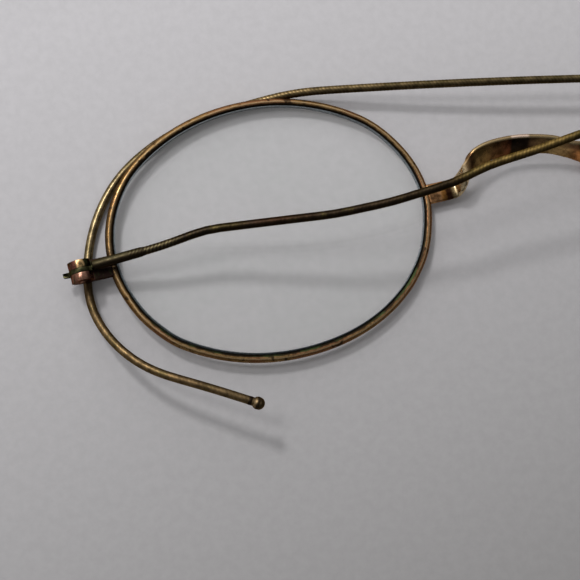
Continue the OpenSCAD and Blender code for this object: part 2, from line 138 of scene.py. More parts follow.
class Temple:
    """One temple's place and centre line: u away from the screw, v up, w towards the wearer.

    lift turns the shank up the glasses' height and raised turns the temple off the lens plane, both in
    degrees; bow is the radius of its outward bow.
    """

    def __init__(self, side, lift, bow, bends, raised):
        self.lift = math.radians(lift)
        self.bow = bow
        self.bends = np.array(bends, float)
        self.place = (
            LAID @ half(side) @ Matrix.Translation((-hinge_x, 0, HINGE_BACK))
            @ Matrix.Rotation(-math.radians(raised), 4, "Y")
        )

    def raw(self, s):
        """Points of the line, with sharp bends, at the distances s from the neck."""
        s = np.asarray(s, float)
        shank = np.minimum(s, SHANK_LEN)
        u = shank * math.cos(self.lift)
        v = shank * math.sin(self.lift)
        heading = self.lift
        start = SHANK_LEN
        for radius, turn in ARCS:
            turn = math.radians(turn)
            a = np.clip((s - start) / radius, 0, turn)
            u = u + radius * (math.sin(heading) - np.sin(heading - a))
            v = v + radius * (np.cos(heading - a) - math.cos(heading))
            heading -= turn
            start += radius * turn
        tail = np.maximum(s - start, 0)
        u = u + tail * math.cos(heading)
        v = v + tail * math.sin(heading)

        run = HOOK_FROM - FERRULE_END
        bowed = -np.clip(u - FERRULE_END, 0, run) ** 2 / (2 * self.bow)
        hooked = np.maximum(u - HOOK_FROM, 0) * (math.tan(HOOK_SET) - run / self.bow)
        lobe_from = start - ARCS[-1][0] * math.radians(ARCS[-1][1])
        kick = TAIL_KICK * np.sin(np.pi / 2 * np.clip((s - lobe_from) / (CABLE_END - lobe_from), 0, 1))
        bend = np.interp(s, self.bends[:, 0], self.bends[:, 1])
        return np.stack([NECK_U + u, v + bend, bowed + hooked + kick], axis=-1)

    def centre(self, s):
        """Points of the line with its bends rounded."""
        s = np.asarray(s, float)
        return (self.raw(s - SOFT) + 2 * self.raw(s) + self.raw(s + SOFT)) / 4

    def frames(self, s):
        """Centre, tangent and the two directions across it, as the CAD model turns its rings."""
        s = np.asarray(s, float)
        t = self.centre(np.minimum(s + TANGENT_REACH, CABLE_END)) - self.centre(s - TANGENT_REACH)
        first, last = np.interp([0, FERRULE_END], self.bends[:, 0], self.bends[:, 1])
        straight = np.array([math.cos(self.lift), math.sin(self.lift) + (last - first) / FERRULE_END, 0])
        t = np.where((s <= FERRULE_END)[:, None], straight, t)
        t = unit(t)
        n = unit(np.cross([0.0, 0.0, 1.0], t))
        return self.centre(s), t, n, np.cross(t, n)

    def frame_at(self, s):
        """The same at one distance from the neck."""
        return [v[0] for v in self.frames([s])]


def unit(v):
    return v / np.linalg.norm(v, axis=-1, keepdims=True)


# The right temple's shoulder passes the top of the left rim at the distance CABLE_OVER
CABLE_OVER = 0.7
SHOULDER_R = ARCS[0][0]
shoulder_reach = math.hypot(SHANK_LEN, SHOULDER_R)
right_lift = math.degrees(
    math.atan2(SHOULDER_R, SHANK_LEN) + math.asin((EYE_H / 2 + CABLE_OVER - SHOULDER_R) / shoulder_reach)
)
TEMPLES = {
    "left": Temple(side=-1, lift=2.4, bow=312, bends=LEFT_BENDS, raised=15.8),
    "right": Temple(side=1, lift=right_lift, bow=257, bends=RIGHT_BENDS, raised=6.55),
}


# Meshes
def add_mesh(name, node, points, faces, place, material, body, uv=None):
    """A mesh from points in millimetres that stands for a CAD node and rides on its body.

    place puts the points in the row frame; uv is each point's place along the piece and round it.
    """
    matrix = Matrix.Diagonal((MM, MM, MM, 1)) @ place
    mesh = bpy.data.meshes.new(name)
    mesh.from_pydata([matrix @ Vector(p) for p in points], [], [list(f) for f in faces])
    if uv is not None:
        layer = mesh.uv_layers.new(name="along")
        corners = np.array([loop.vertex_index for loop in mesh.loops])
        layer.data.foreach_set("uv", np.asarray(uv, np.float32)[corners].ravel())
    if place.determinant() < 0:
        mesh.flip_normals()
    mesh.materials.append(material)
    return add_piece(name, node, mesh, body)


def add_piece(name, node, mesh, body):
    """A smooth-shaded object for a mesh that stands for a CAD node."""
    mesh.polygons.foreach_set("use_smooth", [True] * len(mesh.polygons))
    obj = bpy.data.objects.new(name, mesh)
    bpy.context.scene.collection.objects.link(obj)
    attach(obj, body)
    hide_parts(node)
    return obj


def grid_faces(rings, sides, closed_rings=False):
    """Quads between successive rings of points; the faces look out when the rings run right-handed."""
    faces = []
    for i in range(rings if closed_rings else rings - 1):
        a = i * sides
        b = (i + 1) % rings * sides
        for k in range(sides):
            after = (k + 1) % sides
            faces.append((a + k, a + after, b + after, b + k))
    return faces


def capped(rings, sides):
    """The same, with a face that closes each end."""
    faces = grid_faces(rings, sides)
    faces.append(tuple(range(sides - 1, -1, -1)))
    last = (rings - 1) * sides
    faces.append(tuple(range(last, last + sides)))
    return faces


def winding(s, angle):
    """Height of the winding's strands at a place on the cable, from 0 in a gap to 1 on a crown."""
    phase = (s / WIND_PITCH + WIND_STARTS * angle / (2 * np.pi)) % 1.0
    return np.sqrt(np.maximum(1 - (2 * phase - 1) ** 2, 0))


def sweep(temple, stations, radius, sides):
    """Rings round a temple's centre line; radius is a function of the station and the angle."""
    stations = np.asarray(stations, float)
    centre, _, n, b = temple.frames(stations)
    angle = np.arange(sides) / sides * 2 * np.pi
    r = radius(stations[:, None], angle[None, :]) * np.ones((len(stations), sides))
    ring = np.cos(angle)[None, :, None] * n[:, None, :] + np.sin(angle)[None, :, None] * b[:, None, :]
    points = centre[:, None, :] + r[..., None] * ring
    along = np.stack([
        np.broadcast_to(stations[:, None], r.shape),
        np.broadcast_to(angle[None, :] / (2 * np.pi), r.shape),
    ], axis=-1)
    return points.reshape(-1, 3), along.reshape(-1, 2)


def revolve(profile, line, sides):
    """Rings round a straight line, which is its start, its direction and the two across it.

    profile holds (distance along, radius, relief of the winding).
    """
    start, t, n, b = line
    points, along = [], []
    for at, r, depth in profile:
        for k in range(sides):
            a = 2 * math.pi * k / sides
            out = r - depth * (1 - winding(at, a))
            points.append(start + at * t + out * (math.cos(a) * n + math.sin(a) * b))
            along.append((at, k / sides))
    return points, along


# Materials
class Nodes:
    """Adds nodes to one material in few words."""

    def __init__(self, name):
        self.material = bpy.data.materials.new(name)
        self.material.use_nodes = True
        self.tree = self.material.node_tree
        self.shader = self.tree.nodes["Principled BSDF"]

    def add(self, kind, **inputs):
        node = self.tree.nodes.new(kind)
        for key, value in inputs.items():
            if key in node.bl_rna.properties and key not in node.inputs:
                setattr(node, key, value)
            else:
                self.put(node.inputs[key], value)
        return node

    def put(self, socket, value):
        if isinstance(value, bpy.types.NodeSocket):
            self.tree.links.new(value, socket)
        else:
            socket.default_value = value

    def noise(self, scale, detail=3.0, roughness=0.5, stretch=(1, 1, 1)):
        """Noise whose scale is in features per metre of the object."""
        mapping = self.add("ShaderNodeMapping", Scale=stretch)
        place = self.add("ShaderNodeTexCoord")
        self.tree.links.new(place.outputs["Object"], mapping.inputs["Vector"])
        noise = self.add("ShaderNodeTexNoise", Scale=scale, Detail=detail, Roughness=roughness)
        self.tree.links.new(mapping.outputs["Vector"], noise.inputs["Vector"])
        return noise.outputs["Fac"]

    def wander(self, reach, scale, roughness):
        """Noise about zero, which moves a border by a share of reach to either side."""
        return self.math("MULTIPLY", self.math("SUBTRACT", self.noise(scale, 3, roughness), 0.5), reach)

    def ramp(self, value, *stops):
        """A colour ramp of (position, colour) stops, or of (position, grey)."""
        node = self.add("ShaderNodeValToRGB")
        ramp = node.color_ramp
        while len(ramp.elements) < len(stops):
            ramp.elements.new(0.5)
        for element, (position, colour) in zip(ramp.elements, stops):
            element.position = position
            element.color = (colour,) * 3 + (1,) if isinstance(colour, (int, float)) else (*colour, 1)
        self.put(node.inputs["Fac"], value)
        return node.outputs["Color"]

    def rise(self, value, start, full, strength=1.0):
        """Strength of a layer that is nothing below start and whole above full."""
        return self.ramp(value, (start, 0.0), (full, strength))

    def mix(self, factor, a, b, blend="MIX"):
        node = self.tree.nodes.new("ShaderNodeMix")
        node.data_type = "RGBA"
        node.blend_type = blend
        self.put(node.inputs["Factor"], factor)
        self.put(node.inputs["A"], (*a, 1) if isinstance(a, tuple) else a)
        self.put(node.inputs["B"], (*b, 1) if isinstance(b, tuple) else b)
        return node.outputs["Result"]

    def times(self, a, b):
        """Product of two colours."""
        return self.mix(1.0, a, b, "MULTIPLY")

    def math(self, operation, a, b=0.0, clamp=False):
        node = self.tree.nodes.new("ShaderNodeMath")
        node.operation = operation
        node.use_clamp = clamp
        self.put(node.inputs[0], a)
        self.put(node.inputs[1], b)
        return node.outputs[0]

    def along(self):
        """The two values of the mesh's own map: distance along the piece, and turn round it."""
        uv = self.add("ShaderNodeUVMap")
        uv.uv_map = "along"
        parts = self.add("ShaderNodeSeparateXYZ")
        self.tree.links.new(uv.outputs["UV"], parts.inputs["Vector"])
        return parts.outputs["X"], parts.outputs["Y"]

    def position(self):
        """Place on the object, in millimetres."""
        place = self.add("ShaderNodeTexCoord")
        scale = self.add("ShaderNodeVectorMath", operation="SCALE")
        self.tree.links.new(place.outputs["Object"], scale.inputs[0])
        scale.inputs["Scale"].default_value = 1 / MM
        parts = self.add("ShaderNodeSeparateXYZ")
        self.tree.links.new(scale.outputs["Vector"], parts.inputs["Vector"])
        return parts.outputs["X"], parts.outputs["Y"], parts.outputs["Z"]

    def gaps(self, along, turn, dirt):
        """Dirt between the winding's strands, and none on their crowns."""
        turns = self.math("MULTIPLY", turn, WIND_STARTS)
        strand = self.math("FRACT", self.math("ADD", self.math("DIVIDE", along, WIND_PITCH), turns))
        return self.rise(self.math("ABSOLUTE", self.math("SUBTRACT", strand, 0.5)), 0.2, 0.4, dirt)

    def bump(self, height, strength, distance):
        node = self.add("ShaderNodeBump", Strength=strength, Distance=distance * MM)
        self.put(node.inputs["Height"], height)
        self.put(self.shader.inputs["Normal"], node.outputs["Normal"])

    def finish(self, colour, roughness, tint=(1, 1, 1)):
        """Metal of that colour and roughness; tint is its colour at grazing angles."""
        self.put(self.shader.inputs["Base Color"], colour)
        self.put(self.shader.inputs["Roughness"], roughness)
        self.shader.inputs["Metallic"].default_value = 1.0
        self.shader.inputs["Specular Tint"].default_value = (*tint, 1)
        return self.material


# Colours of the worn plating and of what lies under it
GOLD = (0.27, 0.145, 0.048)
PALE_GOLD = (0.36, 0.22, 0.09)
# The rubbed gold below also serves as a painted highlight along the rims' crown.
RUBBED_GOLD_AND_HIGHLIGHT = (0.56, 0.40, 0.22)
COPPER = (0.28, 0.125, 0.06)
BRONZE = (0.10, 0.055, 0.022)
OLIVE = (0.043, 0.036, 0.019)
# The soot colour below also serves as painted shade on the wires' lower flanks and on the rims' lens side.
SOOT_AND_SHADE = (0.022, 0.015, 0.009)
VERDIGRIS = (0.035, 0.045, 0.018)

# The bridge's colours, from left to right by distance from its middle; the cream stops from -9 to -8.1 mm
# are a painted highlight on the left crank, and the near-black stops from -1.4 to 0.6 mm are painted shade
# on the saddle's inner face
BRIDGE_PATINA_AND_SHADING = [
    (-13, (0.42, 0.22, 0.10)), (-11.2, (0.44, 0.23, 0.105)), (-10.9, (0.36, 0.16, 0.04)),
    (-10.5, (0.34, 0.15, 0.04)), (-10.35, (0.08, 0.03, 0.015)), (-9.8, (0.07, 0.028, 0.014)),
    (-9.6, (0.36, 0.25, 0.12)), (-9.0, (0.75, 0.58, 0.33)), (-8.1, (0.88, 0.70, 0.43)),
    (-7.7, (0.30, 0.18, 0.08)), (-7.2, (0.10, 0.045, 0.02)), (-6.5, (0.26, 0.16, 0.06)),
    (-5.2, (0.22, 0.13, 0.045)), (-4.0, (0.15, 0.075, 0.03)), (-2.2, (0.11, 0.04, 0.018)),
    (-1.7, (0.09, 0.03, 0.014)), (-1.4, (0.015, 0.011, 0.008)), (0.6, (0.015, 0.011, 0.008)),
    (1.0, (0.09, 0.05, 0.025)), (2.6, (0.20, 0.12, 0.05)), (4.0, (0.32, 0.22, 0.09)),
    (6.0, (0.36, 0.22, 0.09)), (7.0, (0.50, 0.21, 0.07)), (13, (0.50, 0.24, 0.09)),
]


def rim_material():
    """Gold-filled wire: rubbed gold with a painted highlight on its crown, copper patches, painted shade on
    its outer flank, and dark dirt with painted shade and verdigris on the lens side.
    """
    m = Nodes("rim_gold_worn")
    along, turn = m.along()
    blotch = m.noise(1400, 3, 0.6)
    gold = m.mix(m.rise(m.noise(260, 4, 0.6), 0.40, 0.62), GOLD, PALE_GOLD)
    colour = m.mix(m.rise(blotch, 0.48, 0.64, 0.9), gold, BRONZE)
    colour = m.mix(m.rise(m.noise(150, 2), 0.5, 0.60, 0.8), colour, COPPER)

    # share runs round the rim from 0 under the hinge to 1 above it, and side is how far a point of
    # the wire's section is turned away from the lens
    share = m.math("ADD", m.math("DIVIDE", along, math.pi * EYE_W), 0.5)
    lower = m.ramp(share, (0.04, 0.0), (0.10, 1.0), (0.38, 1.0), (0.45, 0.0))
    side = m.math("ABSOLUTE", m.math("SUBTRACT", turn, 0.5))
    side = m.math("ADD", side, m.wander(0.09, 1000, 0.7))
    side = m.math("SUBTRACT", side, m.math("MULTIPLY", lower, 0.035))
    # Dirt with painted shade on the lens side of the wire, green with oxide lower down.
    groove = m.ramp(side, (0.175, 1.0), (0.215, 0.0))
    green = m.math("MULTIPLY", lower, m.rise(m.noise(420, 2), 0.46, 0.56))
    # Rubbed wear with a painted highlight along the wire's crown.
    crown = m.ramp(side, (0.22, 0.0), (0.245, 0.7), (0.265, 0.7), (0.29, 0.0))
    colour = m.mix(crown, colour, RUBBED_GOLD_AND_HIGHLIGHT)
    # Painted shade on the wire's outer flank.
    colour = m.mix(m.rise(side, 0.30, 0.40, 0.55), colour, BRONZE)
    colour = m.mix(groove, colour, m.mix(green, SOOT_AND_SHADE, VERDIGRIS))
    by_hinge = m.ramp(
        share, (0.004, 0.9), (0.02, 0.5), (0.05, 0.0), (0.78, 0.0), (0.86, 0.4), (0.97, 0.6), (0.996, 0.9)
    )
    colour = m.mix(by_hinge, colour, SOOT_AND_SHADE)
    nicks = m.rise(m.noise(700, 2), 0.63, 0.67, 0.8)
    colour = m.mix(nicks, colour, SOOT_AND_SHADE)
    roughness = m.mix(groove, m.ramp(blotch, (0.3, 0.2), (0.7, 0.38)), (0.5, 0.5, 0.5))
    m.bump(m.noise(2600, 3, 0.6), 0.2, 0.02)
    return m.finish(colour, roughness, tint=(0.75, 0.62, 0.5))


def bridge_material():
    """The broad ribbon's patina from left to right with painted highlights and painted shade among its
    colours, rubbed pale and painted lighter as a highlight on its upper edge.
    """
    m = Nodes("bridge_gold_worn")
    along, across = m.along()

    def share(at):
        """Place along the bridge from 0 at the left rim to 1 at the right rim."""
        return m.math("DIVIDE", m.math("ADD", at, BRIDGE_HALF), 2 * BRIDGE_HALF)

    stops = [((at + BRIDGE_HALF) / (2 * BRIDGE_HALF), colour) for at, colour in BRIDGE_PATINA_AND_SHADING]
    base = m.ramp(share(m.math("ADD", along, m.wander(0.8, 500, 0.6))), *stops)
    base = m.times(base, m.ramp(m.noise(650, 4, 0.65), (0.36, 0.45), (0.64, 1.45)))
    right_leg = m.math("MULTIPLY", m.rise(share(along), 0.68, 0.74), m.rise(across, 0.5, 0.72, 0.8))
    base = m.mix(right_leg, base, (0.10, 0.05, 0.028))
    stain = m.rise(m.noise(900, 4, 0.65), 0.52, 0.66, 0.5)
    colour = m.mix(stain, base, (0.05, 0.028, 0.014))
    # The upper edge is rubbed pale and also lightened as a painted highlight.
    colour = m.mix(m.rise(across, 0.90, 0.95, 0.7), colour, (0.55, 0.41, 0.22))
    # A painted highlight spot on the crest's upper edge.
    painted_crest_glint = m.ramp(share(along), (0.438, 0.0), (0.446, 1.0), (0.526, 1.0), (0.534, 0.0))
    painted_crest_glint = m.math("MULTIPLY", painted_crest_glint, m.rise(across, 0.93, 0.97))
    colour = m.mix(painted_crest_glint, colour, (0.95, 0.72, 0.56))
    roughness = m.ramp(m.noise(1200, 3), (0.35, 0.16), (0.7, 0.36))
    m.bump(m.noise(2400, 3), 0.2, 0.02)
    return m.finish(colour, roughness, tint=(0.7, 0.55, 0.42))


def lug_material(name, tip, middle, root):
    """Plating rubbed through on the rounded end, dark on the arm, with green oxide in the scratches.

    tip, middle and root are the colours from the outer end of the lug to the side of the rim; a lighter
    middle is a painted highlight across the rounded barrel.
    """
    m = Nodes(name)
    x, _, _ = m.position()
    out = m.math("SUBTRACT", m.math("ADD", m.math("ABSOLUTE", x), m.wander(0.7, 700, 0.6)), hinge_x)
    arm = (0.030, 0.017, 0.014)
    places = [
        (-1.6, arm), (-1.2, root), (-0.6, root), (-0.45, middle), (0.2, middle), (0.5, tip), (1.3, tip),
    ]
    share_per_mm = 0.2
    share = m.math("ADD", m.math("MULTIPLY", out, share_per_mm), 0.5)
    base = m.ramp(share, *[(0.5 + share_per_mm * at, colour) for at, colour in places])
    streak = m.noise(1500, 3, 0.6, stretch=(2.5, 0.8, 0.5))
    colour = m.mix(m.rise(streak, 0.55, 0.62, 0.7), base, VERDIGRIS)
    colour = m.mix(m.rise(m.noise(1100, 4, 0.7), 0.52, 0.66, 0.8), colour, SOOT_AND_SHADE)
    roughness = m.ramp(m.noise(650, 4, 0.6), (0.4, 0.2), (0.6, 0.42))
    m.bump(streak, 0.5, 0.05)
    return m.finish(colour, roughness, tint=(0.5, 0.38, 0.32))


def olive_material(name, dark, light, sleeve=False):
    """Smooth olive skin; on a sleeve its lower flank is darkened as painted shade, and strands show through.
    """
    m = Nodes(name)
    base = m.mix(m.rise(m.noise(420, 4, 0.6), 0.36, 0.64), dark, light)
    colour = m.mix(m.rise(m.noise(2400, 3, 0.7), 0.54, 0.66, 0.85), base, SOOT_AND_SHADE)
    if sleeve:
        along, turn = m.along()
        tenth = m.math("MULTIPLY", along, 0.1)
        pressed = m.rise(tenth, PRESSED_FROM / 10, PRESSED_FROM / 10 + 0.05)
        colour = m.mix(m.math("MULTIPLY", m.gaps(along, turn, 0.9), pressed), colour, SOOT_AND_SHADE)
        # Painted shade on the sleeve's lower flank.
        flank = m.ramp(turn, (0.17, 0.0), (0.31, 0.93), (0.84, 0.93), (0.96, 0.0))
        colour = m.mix(flank, colour, SOOT_AND_SHADE)
    roughness = m.ramp(m.noise(1500, 3), (0.3, 0.30), (0.7, 0.55))
    m.bump(m.noise(2200, 4, 0.6), 0.3, 0.03)
    return m.finish(colour, roughness, tint=(0.5, 0.42, 0.3))


def cable_material(name, colours, gaps, gloss, lower_flank_shade):
    """Wound wire whose patina changes along the temple.

    colours, gaps and gloss hold (distance from the neck, value) for the wire's colour, the dirt between
    its strands and its roughness; the last argument sets the painted shade on the cable's lower flank.
    """
    m = Nodes(name)
    along, turn = m.along()
    share = m.math("DIVIDE", along, CABLE_END)

    def by_place(values):
        return m.ramp(share, *[(at / CABLE_END, value) for at, value in values])

    base = m.times(by_place(colours), m.ramp(m.noise(1100, 3, 0.6), (0.36, 0.55), (0.64, 1.35)))
    base = m.mix(m.rise(m.noise(420, 3, 0.6), 0.54, 0.64, 0.6), base, (0.07, 0.055, 0.02))
    colour = m.mix(m.math("MULTIPLY", m.gaps(along, turn, 1.0), by_place(gaps)), base, SOOT_AND_SHADE)
    # Painted shade on the cable's lower flank.
    flank = m.ramp(turn, (0.24, 0.0), (0.42, lower_flank_shade), (0.80, lower_flank_shade), (0.95, 0.0))
    colour = m.mix(flank, colour, SOOT_AND_SHADE)
    roughness = m.times(by_place(gloss), m.ramp(m.noise(1700, 3), (0.3, 0.8), (0.7, 1.2)))
    m.bump(m.noise(3200, 3, 0.6), 0.25, 0.02)
    return m.finish(colour, roughness, tint=(0.6, 0.5, 0.35))


def tip_material():
    """Brown-gold ball, darker in a band round it and in the seam behind it."""
    m = Nodes("tip_gold_worn")
    along, _ = m.along()
    stain = m.rise(m.noise(900, 4, 0.65), 0.42, 0.6)
    colour = m.mix(stain, (0.20, 0.14, 0.075), (0.06, 0.04, 0.02))
    bands = m.ramp(
        along, (0.02, 1.0), (0.26, 1.0), (0.32, 0.0), (0.46, 0.0), (0.52, 0.85), (0.68, 0.85), (0.74, 0.0)
    )
    colour = m.mix(bands, colour, SOOT_AND_SHADE)
    roughness = m.ramp(m.noise(1500, 3), (0.3, 0.3), (0.7, 0.5))
    m.bump(m.noise(2400, 3), 0.3, 0.03)
    return m.finish(colour, roughness, tint=(0.5, 0.4, 0.3))


def glass_material():
    """Clear old glass with a faint grey-green body and a haze of wipe marks."""
    m = Nodes("lens_glass_clear")
    smear = m.noise(60, 4, 0.6, stretch=(1, 2.2, 1))
    tint = m.mix(m.rise(smear, 0.3, 0.7), (0.955, 0.975, 0.96), (0.985, 0.99, 0.985))
    m.put(m.shader.inputs["Base Color"], tint)
    m.put(m.shader.inputs["Roughness"], m.rise(smear, 0.4, 0.75, 0.025))
    m.shader.inputs["Transmission Weight"].default_value = 1.0
    m.shader.inputs["IOR"].default_value = 1.5
    m.bump(m.noise(90, 2), 0.02, 0.02)
    return m.material


def ground_edge_material():
    """The ground edge of a lens: frosted grey glass, dark with dirt."""
    m = Nodes("lens_edge_ground")
    grit = m.noise(3000, 4, 0.7)
    grey = m.ramp(grit, (0.35, (0.06, 0.07, 0.075)), (0.65, (0.18, 0.20, 0.215)))
    m.put(m.shader.inputs["Base Color"], grey)
    m.put(m.shader.inputs["Roughness"], m.ramp(grit, (0.3, 0.5), (0.7, 0.75)))
    m.bump(grit, 0.3, 0.02)
    return m.material


def steel_material():
    """Drawn spring wire, streaked along its length."""
    m = Nodes("spring_wire_drawn")
    streak = m.noise(1800, 3, 0.6, stretch=(0.3, 2, 2))
    colour = m.mix(m.rise(streak, 0.35, 0.65), (0.30, 0.29, 0.27), (0.48, 0.46, 0.43))
    m.bump(streak, 0.2, 0.02)
    return m.finish(colour, m.ramp(streak, (0.3, 0.3), (0.7, 0.5)))


rim_gold = rim_material()
bridge_gold = bridge_material()
# The upper lug's gold middle is a painted highlight across its barrel, and its dark red and green ends are
# oxide with painted shade.
upper_copper = lug_material(
    "lug_gilt", tip=(0.15, 0.055, 0.04), middle=(0.52, 0.34, 0.16), root=(0.035, 0.035, 0.016)
)
lower_copper = lug_material(
    "lug_bare_copper", tip=(0.20, 0.095, 0.065), middle=(0.26, 0.135, 0.095), root=(0.12, 0.055, 0.04)
)
joint_skin = olive_material("olive_joint_skin", dark=(0.016, 0.017, 0.009), light=(0.075, 0.07, 0.032))
sleeve_skin = olive_material("olive_sleeve_skin", dark=OLIVE, light=(0.06, 0.05, 0.026), sleeve=True)
tip_gold = tip_material()
glass = glass_material()
ground_edge = ground_edge_material()
steel = steel_material()
left_wound = cable_material(
    "wound_wire_left",
    colours=[
        (6, (0.085, 0.07, 0.037)), (9, (0.075, 0.06, 0.03)), (11, (0.010, 0.008, 0.006)),
        (14, (0.012, 0.009, 0.005)), (16.5, (0.030, 0.023, 0.009)), (19, (0.020, 0.012, 0.008)),
        (21.5, (0.032, 0.016, 0.009)), (27, (0.024, 0.016, 0.010)), (42, (0.032, 0.022, 0.012)),
        (46, (0.19, 0.125, 0.04)), (58, (0.21, 0.14, 0.046)), (84, (0.20, 0.14, 0.06)),
        (143, (0.18, 0.12, 0.06)),
    ],
    gaps=[(6, 0.95), (12, 0.9), (14, 0.4), (40, 0.4), (46, 0.35), (143, 0.3)],
    gloss=[(6, 0.36), (40, 0.36), (46, 0.42), (143, 0.4)],
    lower_flank_shade=0.9,
)
right_wound = cable_material(
    "wound_wire_right",
    colours=[
        (6, (0.16, 0.13, 0.065)), (60, (0.13, 0.095, 0.045)), (84, (0.20, 0.14, 0.065)),
        (100, (0.18, 0.125, 0.06)), (106, (0.21, 0.16, 0.085)), (116, (0.22, 0.165, 0.09)),
        # The dark stop at 119 mm is painted shade where the cable runs under the lower lug.
        (119, (0.05, 0.032, 0.017)), (123, (0.15, 0.10, 0.047)), (134, (0.13, 0.085, 0.04)),
        (143, (0.14, 0.095, 0.047)),
    ],
    gaps=[(6, 0.35), (100, 0.3), (104, 0.08), (143, 0.15)],
    gloss=[(6, 0.38), (102, 0.34), (104, 0.31), (116, 0.31), (119, 0.42)],
    lower_flank_shade=0.6,
)


# Eyewires: a round wire with a V groove inside, swept round a four-arc oval and split at the hinge. The
# arcs meet on lines that rise by TURN_RISE over TURN_RUN, from the arcs' centres.
TURN_RUN, TURN_RISE = 0.6, 0.8
OVAL_K = (EYE_W - EYE_H) / 2 / (TURN_RUN + TURN_RISE - 1)
END_C, SIDE_C = TURN_RUN * OVAL_K, TURN_RISE * OVAL_K
END_R, SIDE_R = EYE_W / 2 - END_C, EYE_H / 2 + SIDE_C
RIM_STATIONS = 300

# How far the left rim and its lens stand out from the true oval, at angles in degrees
WORN = (
    (-180, 0), (-160, -0.08), (-143, 0), (-125, 0.22), (-90, 0.05), (-65, 0.2), (-40, -0.1), (-20, -0.18),
    (0, 0), (30, -0.07), (60, 0.17), (90, 0.17), (120, 0.28), (150, 0.07), (180, 0),
)


def worn(side, angle):
    """The left rim's small dents and bulges; the right rim is true."""
    if side > 0:
        return 0.0
    at = math.degrees(angle)
    for (a, low), (b, high) in zip(WORN, WORN[1:]):
        if a <= at <= b:
            t = (at - a) / (b - a)
            return low + (high - low) * t * t * (3 - 2 * t)
    return 0.0


def oval(angle, side, offset=0.0):
    """Point of a rim's oval whose outward direction is at that angle, moved outwards by offset."""
    offset += worn(side, angle)
    c, s = math.cos(angle), math.sin(angle)
    if abs(c) >= TURN_RUN:
        centre, r = (math.copysign(END_C, c), 0.0), END_R
    else:
        centre, r = (0.0, -math.copysign(SIDE_C, s)), SIDE_R
    return Vector((centre[0] + (r + offset) * c, centre[1] + (r + offset) * s, 0))


def rim_profile():
    """(outward, up) points of the wire's section: round the outside, then over the groove's lips."""
    mouth = math.radians(146)
    apex = RIM_R - GROOVE_DEPTH
    arc = [(RIM_R * math.cos(a), RIM_R * math.sin(a)) for a in np.linspace(mouth, -mouth, 33)]
    lip = [(-0.406, -0.258), (-0.39, -0.236)]
    floor = [(-apex - 0.02, -0.025), (-apex, 0.0), (-apex - 0.02, 0.025)]
    upper_lip = [(x, -z) for x, z in reversed(lip)]
    return arc + lip + floor + upper_lip


def eyewire(word, side):
    """A rim's wire, from one side of the split round to the other."""
    profile = rim_profile()
    split = math.asin(SPLIT_W / 2 / END_R)
    points, uv = [], []
    for i in range(RIM_STATIONS):
        angle = -math.pi + split + (2 * math.pi - 2 * split) * i / (RIM_STATIONS - 1)
        out = Vector((math.cos(angle), math.sin(angle), 0))
        for x, z in profile:
            points.append(oval(angle, side) + x * out + Vector((0, 0, z)))
            uv.append((angle * EYE_W / 2, math.atan2(z, x) / (2 * math.pi) % 1.0))
    faces = capped(RIM_STATIONS, len(profile))
    name, node = f"{word}_rim_wire", f"{word}_eyewire"
    return add_mesh(name, node, points, faces, at_lens(side), rim_gold, "frame", uv)


LENS_SIDES = 160
LENS_RINGS = 14
LENS_SHOULDER = 0.04


def lens(word, side):
    """A lens with two curved faces and an edge that comes to a point in the rim's groove.

    The upper half's rings run from the middle over the rounded shoulder and down the edge to the
    point; the lower half mirrors them. The shoulder and the edge are ground.
    """
    edge = -RIM_R - LENS_GAP
    bevel = -(RIM_R - GROOVE_DEPTH) - 1.5 * LENS_GAP
    crown = LENS_EDGE / 2 + LENS_CURVE - math.sqrt(LENS_CURVE ** 2 - (EYE_W / 2) ** 2)

    def height(p):
        return crown - LENS_CURVE + math.sqrt(LENS_CURVE ** 2 - p.x ** 2 - p.y ** 2)

    sides, rings = LENS_SIDES, LENS_RINGS
    angles = [2 * math.pi * k / sides - math.pi for k in range(sides)]
    outline = [oval(a, side, edge) for a in angles]
    points = [Vector((0, 0, crown))]
    for i in range(1, rings + 1):
        for p in outline:
            if i < rings - 1:
                q = p * (i / rings)
            else:
                q = p - p.normalized() * LENS_SHOULDER * (1 + rings - i)
            points.append(Vector((q.x, q.y, height(q))))
    for p in outline:
        points.append(Vector((p.x, p.y, height(p) - LENS_SHOULDER)))
    for p in outline:
        points.append(Vector((p.x, p.y, bevel - edge)))
    for a in angles:
        q = oval(a, side, bevel)
        points.append(Vector((q.x, q.y, 0)))

    loops = rings + 3
    upper = len(points)
    points += [Vector((p.x, p.y, -p.z)) for p in points[: upper - sides]]
    faces, ground = [], []
    for k in range(sides):
        after = (k + 1) % sides
        faces.append((0, 1 + k, 1 + after))
        faces.append((upper, upper + 1 + after, upper + 1 + k))
        for i in range(loops - 1):
            a, b = 1 + i * sides, 1 + (i + 1) * sides
            low_b = upper + b if i < loops - 2 else b
            if i >= rings - 2:
                ground += [len(faces), len(faces) + 1]
            faces.append((a + k, b + k, b + after, a + after))
            faces.append((upper + a + after, low_b + after, low_b + k, upper + a + k))

    pane = add_mesh(f"{word}_lens_glass", f"{word}_lens", points, faces, at_lens(side), glass, "frame")
    pane.data.materials.append(ground_edge)
    for index in ground:
        pane.data.polygons[index].material_index = 1
    pane.visible_shadow = False
    pane.visible_diffuse = False
    return pane


for word, side in (("left", -1), ("right", 1)):
    eyewire(word, side)
    lens(word, side)


# Bridge: a flat ribbon that runs from each rim, turns up at the crank and over to the saddle
def leaned(share, slant):
    """Width direction of the ribbon for a share of the crest's lean, slanted along the front."""
    return Vector((slant, math.cos(share * CREST_LEAN), math.sin(share * CREST_LEAN)))


